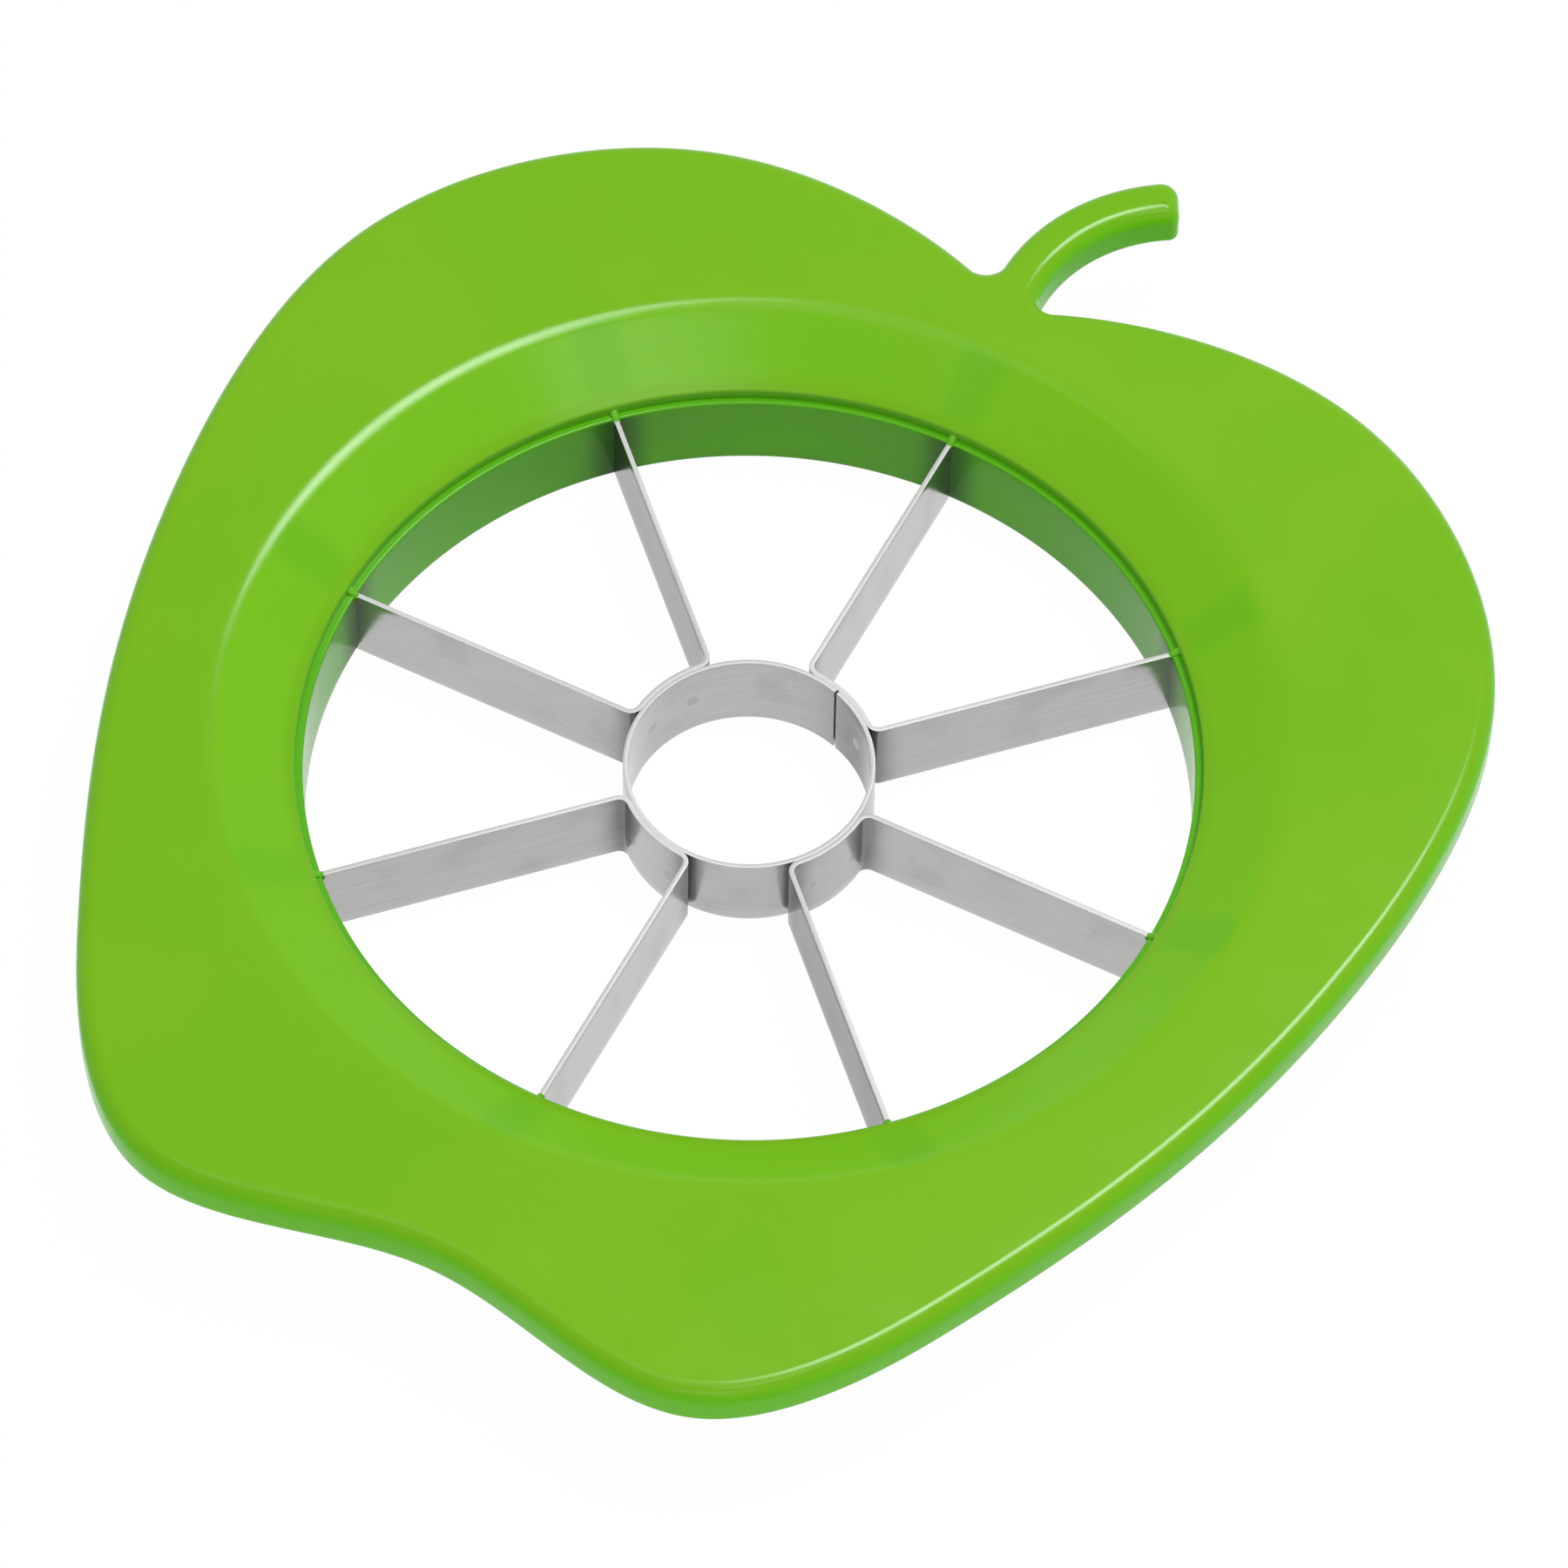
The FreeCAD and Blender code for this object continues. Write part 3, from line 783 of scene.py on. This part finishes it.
class Nodes:
    """A shader tree that is built node by node."""

    def __init__(self, tree):
        self.tree = tree

    def node(self, kind, settings, inputs, output=0):
        """Output of a new node: its settings are set first, then its sockets get values or links."""
        made = self.tree.nodes.new(kind)
        for name, value in settings.items():
            if name == "stops":
                for stop, (place, colour) in zip(made.color_ramp.elements, value):
                    stop.position = place
                    stop.color = colour
            else:
                setattr(made, name, value)
        self.fill(made, inputs)
        return Socket(self, made.outputs[output])

    def fill(self, node, inputs):
        """Puts values or links into a node's sockets."""
        for name, value in inputs.items():
            if isinstance(value, Socket):
                self.tree.links.new(value.output, node.inputs[name])
            else:
                node.inputs[name].default_value = value

    def math(self, operation, first, second):
        return self.node("ShaderNodeMath", {"operation": operation}, {0: first, 1: second})

    def noise(self, vector, scale, detail=2.0, roughness=0.5):
        return self.node("ShaderNodeTexNoise", {},
                         {"Vector": vector, "Scale": scale, "Detail": detail, "Roughness": roughness})

    def ramp(self, factor, low, high):
        """Smooth rise from 0 to 1 between two values of the factor."""
        return self.node("ShaderNodeMapRange", {"interpolation_type": "SMOOTHSTEP"},
                         {"Value": factor, "From Min": low, "From Max": high})

    def fade(self, measure, name):
        """Rise from 0 to 1 of a measure in metres between the two values that FADES gives."""
        low, high = FADES[name]
        return self.ramp(measure, low * MM, high * MM)

    def blend(self, factor, first, second):
        return self.node("ShaderNodeMix", {"data_type": "RGBA"}, {0: factor, 6: first, 7: second}, output=2)


class Finish(Nodes):
    """The shader tree of one surface's material, with its Principled shader."""

    def __init__(self, name):
        self.material = bpy.data.materials.new(name)
        self.material.use_nodes = True
        super().__init__(self.material.node_tree)
        self.shader = self.tree.nodes["Principled BSDF"]

    def surface(self, inputs):
        """Puts values or links into the Principled shader."""
        self.fill(self.shader, inputs)

    def axis(self, name):
        """One object coordinate in metres."""
        place = self.node("ShaderNodeTexCoord", {}, {}, output="Object")
        return self.node("ShaderNodeSeparateXYZ", {}, {"Vector": place}, output=name)


def colour(triple):
    """Linear colour of an sRGB triple from 0 to 255, by the sRGB curve and its straight start."""
    linear = [((c / 255 + 0.055) / 1.055) ** 2.4 if c > 10 else c / 255 / 12.92 for c in triple]
    return (*linear, 1.0)


def green_plastic():
    """Glossy apple green with faint flow clouding, fine handling haze and a waviness that bends highlights.

    The colour changes with the place on the moulding, mostly as painted light and shade: a deeper green on
    the sides, the flat top, a lighter funnel with painted shade outward of each blade end, a paler ledge,
    and a darker ring wall with painted shade next to each blade.
    """
    finish = Finish("apple_green_gloss")
    greens = {name: colour(triple) for name, triple in GREENS.items()}
    place = finish.node("ShaderNodeTexCoord", {}, {}, output="Object")
    clouds = finish.ramp(finish.noise(place, CLOUD_SCALE, 3.0), 0.35, 0.7)
    haze = finish.ramp(finish.noise(place, HAZE_SCALE, 4.0, 0.6), 0.4, 0.75)
    relief = finish.noise(place, WAVE_SCALE, 1.0) * 0.9 + finish.noise(place, PORE_SCALE, 2.0) * 0.04
    height = finish.axis("Z")
    across, along = finish.axis("X"), finish.axis("Y")
    radius = finish.math("POWER", across * across + along * along, 0.5)
    leg_step = math.radians(2 * LEG_ANGLE)
    legs = finish.math("FRACT", finish.math("ARCTAN2", along, across) / leg_step + 0.5, 0.0)
    off_leg = finish.math("ABSOLUTE", legs - 0.5, 0.0) * (leg_step * RING_BORE_RADIUS * MM)
    on_funnel = finish.fade(radius, "funnel_foot") * finish.fade(radius, "funnel_crest")
    on_wall = finish.fade(height, "wall_top") * finish.fade(radius, "wall_face")
    # where the painted green of the sides shows
    on_side = finish.fade(height, "side_top") * finish.fade(radius, "side_face")
    # painted shade: a faint darker patch on the funnel outward of each blade end
    blade_end_shade = finish.fade(off_leg, "blade_end_shade") * on_funnel * BLADE_END_SHADE_STRENGTH
    # painted shade on the ring wall next to each blade
    wall_blade_shade = finish.fade(off_leg, "shade_beside_blade") * on_wall * SHADE_BESIDE_STRENGTH
    # painted shade on the ring wall and a paler painted green on the ledge and riser, by height
    shaded = finish.blend(finish.fade(height, "ledge"), greens["wall"], greens["ledge"])
    walls = finish.blend(wall_blade_shade, shaded, greens["shade_beside_blade"])
    flat = finish.blend(clouds, greens["flat"], greens["cloud"])
    # painted light: the funnel is a lighter green than the flat top
    upper = finish.blend(blade_end_shade, finish.blend(on_funnel, flat, greens["funnel"]), greens["blade_end_shade"])
    middle = finish.blend(finish.fade(height, "flange"), walls, upper)
    bump = {"Strength": 0.35, "Distance": 0.00006, "Height": relief}
    finish.surface({
        "Base Color": finish.blend(on_side, middle, greens["side"]),
        "Roughness": haze * 0.05 + 0.17,
        "Specular IOR Level": 0.14,
        "Normal": finish.node("ShaderNodeBump", {}, bump),
    })
    return finish.material


def blade_steel():
    """Brushed stainless steel: fine lengthwise grain, faint smudges, painted shade, and pale matt top edges
    as painted light.
    """
    finish = Finish("brushed_blade_steel")
    along = finish.node("ShaderNodeUVMap", {"uv_map": "along"}, {})
    stretched = finish.node("ShaderNodeMapping", {}, {"Vector": along, "Scale": GRAIN_SCALE})
    broad = finish.node("ShaderNodeMapping", {}, {"Vector": along, "Scale": BAND_SCALE})
    grain = finish.noise(stretched, 1.0, 3.0, 0.6)
    bands = finish.noise(broad, 1.0, 2.0)
    place = finish.node("ShaderNodeTexCoord", {}, {}, output="Object")
    smudge = finish.ramp(finish.noise(place, SMUDGE_SCALE, 3.0), 0.45, 0.75)
    shade = finish.ramp(grain * 0.7 + bands * 0.3, 0.3, 0.7)
    # painted light: the top edges turn matt and pale grey
    edge = finish.fade(finish.axis("Z"), "lit_steel_edge")
    # painted shade in the corners, on two blades and on one side of the core ring, with the smudges added
    painted_shade = finish.node("ShaderNodeAttribute", {"attribute_name": "painted_shade"}, {}, output="Fac")
    shade_and_smudge = finish.math("MINIMUM", painted_shade + smudge * 0.12, 1.0)
    steel = finish.blend(shade, colour(STEELS["low"]), colour(STEELS["high"]))
    darkened = finish.blend(shade_and_smudge, steel, colour(STEELS["darkening"]))
    bump = {"Strength": 0.25, "Distance": 0.00001, "Height": grain}
    finish.surface({
        "Base Color": finish.blend(edge, darkened, colour(STEELS["edge"])),
        "Metallic": 1.0 - edge * 0.85,
        "Roughness": grain * 0.14 + edge * 0.3 + 0.12,
        "Anisotropic": 0.3,
        "Normal": finish.node("ShaderNodeBump", {}, bump),
    })
    return finish.material


def weld_steel():
    """Fused steel of the weld marks, duller and darker than the strip."""
    finish = Finish("weld_mark_steel")
    place = finish.node("ShaderNodeTexCoord", {}, {}, output="Object")
    mottle = finish.noise(place, MOTTLE_SCALE, 3.0)
    finish.surface({
        "Base Color": finish.blend(mottle, colour(STEELS["weld_low"]), colour(STEELS["weld_high"])),
        "Metallic": 1.0,
        "Roughness": mottle * 0.2 + 0.22,
    })
    return finish.material


# Studio

def soft_lamp(name, direction, elevation, size, power):
    """Area lamp at an azimuth and elevation round the object, aimed at its middle."""
    data = bpy.data.lights.new(name, "AREA")
    data.shape = "RECTANGLE"
    data.size, data.size_y = size
    data.energy = power
    lamp = bpy.data.objects.new(name, data)
    bpy.context.scene.collection.objects.link(lamp)
    across, rise = math.cos(math.radians(elevation)), math.sin(math.radians(elevation))
    position = Vector((*(unit(direction) * across), rise)) * LAMP_DISTANCE
    turn = (position - Vector(LAMP_TARGET)).to_track_quat("Z", "Y").to_matrix().to_4x4()
    lamp.matrix_world = Matrix.Translation(position) @ turn
    return lamp


def directly_seen(nodes):
    """1 for rays from the camera, in a mirror image or through glass, 0 for rays that only carry light."""
    rays = [nodes.node("ShaderNodeLightPath", {}, {}, output="Is " + kind + " Ray")
            for kind in ("Camera", "Glossy", "Transmission")]
    return nodes.math("MINIMUM", rays[0] + rays[1] + rays[2], 1.0)


def studio():
    """White floor that keeps a faint shadow, an even white surround and soft lamps."""
    mesh = bpy.data.meshes.new("floor")
    corners = [(x * FLOOR_SPAN, y * FLOOR_SPAN, 0) for x, y in ((-1, -1), (1, -1), (1, 1), (-1, 1))]
    mesh.from_pydata(corners, [], [(0, 1, 2, 3)])
    floor = bpy.data.objects.new("floor", mesh)
    bpy.context.scene.collection.objects.link(floor)
    finish = Finish("floor_white")
    white = (FLOOR_WHITE, FLOOR_WHITE, FLOOR_WHITE, 1.0)
    finish.surface({"Base Color": white, "Roughness": 0.9, "Specular IOR Level": 0.1})
    glow = finish.node("ShaderNodeEmission", {}, {"Color": (1, 1, 1, 1), "Strength": 1.0})
    plain = Socket(finish, finish.shader.outputs[0])
    share = directly_seen(finish) * FLOOR_GLOW
    mixed = finish.node("ShaderNodeMixShader", {}, {0: share, 1: plain, 2: glow})
    finish.fill(finish.tree.nodes["Material Output"], {"Surface": mixed})
    mesh.materials.append(finish.material)

    world = bpy.data.worlds.new("surround")
    bpy.context.scene.world = world
    world.use_nodes = True
    surround = Nodes(world.node_tree)
    strength = directly_seen(surround) * (1 - SURROUND_LIGHT) + SURROUND_LIGHT
    surround.fill(world.node_tree.nodes["Background"], {"Color": (1, 1, 1, 1), "Strength": strength})

    for name, lamp in LAMPS.items():
        soft_lamp(name, *lamp)
    for name, lamp in HIGHLIGHTS.items():
        soft_lamp(name, *lamp).visible_diffuse = False


def camera():
    """Camera at the photograph's viewpoint."""
    data = bpy.data.cameras.new("camera")
    data.sensor_width = SENSOR_WIDTH
    data.lens = FOCAL_PIXELS / PHOTO_PIXELS * SENSOR_WIDTH
    data.clip_start = 0.05
    data.clip_end = 20.0
    view = bpy.data.objects.new("camera", data)
    bpy.context.scene.collection.objects.link(view)
    bpy.context.scene.camera = view
    azimuth, elevation, roll = (math.radians(v) for v in (VIEW_AZIMUTH, VIEW_ELEVATION, VIEW_ROLL))
    level = math.cos(elevation)
    back = Vector((math.sin(azimuth) * level, -math.cos(azimuth) * level, math.sin(elevation)))
    right = Vector((math.cos(azimuth), math.sin(azimuth), 0))
    up = back.cross(right)
    right, up = right * math.cos(roll) + up * math.sin(roll), up * math.cos(roll) - right * math.sin(roll)
    target = Vector((0, 0, RING_DEPTH))
    position = (target + back * VIEW_DISTANCE + right * VIEW_RIGHT + up * VIEW_UP) * MM
    turn = Matrix((right, up, back)).transposed().to_4x4()
    view.matrix_world = Matrix.Translation(position) @ turn


def main():
    green = green_plastic()
    steel = blade_steel()
    weld = weld_steel()
    moulding = green_moulding(green)
    blade_beads(green)
    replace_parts(moulding, "apple_frame")
    for number, azimuth in enumerate(pair_azimuths(), 1):
        # painted shade on two of the blades
        darkening = BLADE_SHADE[number - 1]
        strip = steel_strip("v_strip_" + str(number), azimuth, steel, number * STRIP_SHIFT, darkening)
        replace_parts(strip, "blade_strip_" + str(number))
    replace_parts(core_ring(steel), "core_ring")
    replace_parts(weld_marks(weld), "weld_nuggets")
    studio()
    camera()


main()
bpy.context.scene.view_settings.view_transform = "Standard"
